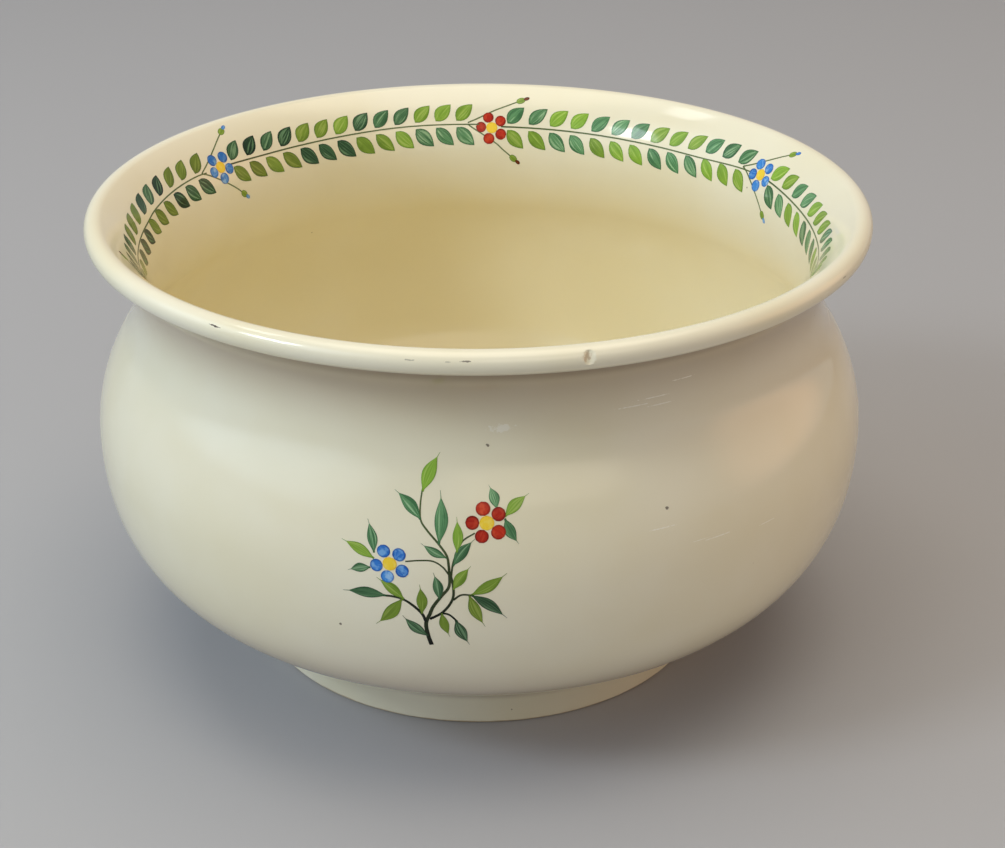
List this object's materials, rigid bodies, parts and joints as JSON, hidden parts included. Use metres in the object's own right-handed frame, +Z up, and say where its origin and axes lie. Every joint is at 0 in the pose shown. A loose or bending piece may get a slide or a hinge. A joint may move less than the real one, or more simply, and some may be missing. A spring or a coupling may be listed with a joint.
{
  "type": "chamber pot",
  "caption": "Round glazed earthenware chamber pot with a bulging belly, drawn-in neck, flaring rim with a rolled lip, low foot ring and a strap handle at the back.",
  "frame": {"origin": "On the pot's axis, in the plane of the foot ring's resting face.", "axes": "+Z up along the pot's axis, +Y towards the handle, -Y towards the front, which carries the painted spray, +X to the right seen from the front."},
  "size_m": [0.2256, 0.2626, 0.1355],
  "materials": {
    "cream_glaze": "gloss",
    "fired_slip": "matte"
  },
  "bodies": {
    "root": {"bowl": "cream_glaze", "rim_roll": "cream_glaze", "rim_slip": "fired_slip", "foot_ring": "cream_glaze", "foot_slip": "fired_slip", "handle": "cream_glaze", "upper_handle_slip": "fired_slip", "lower_handle_slip": "fired_slip"}
  },
  "joints": []
}
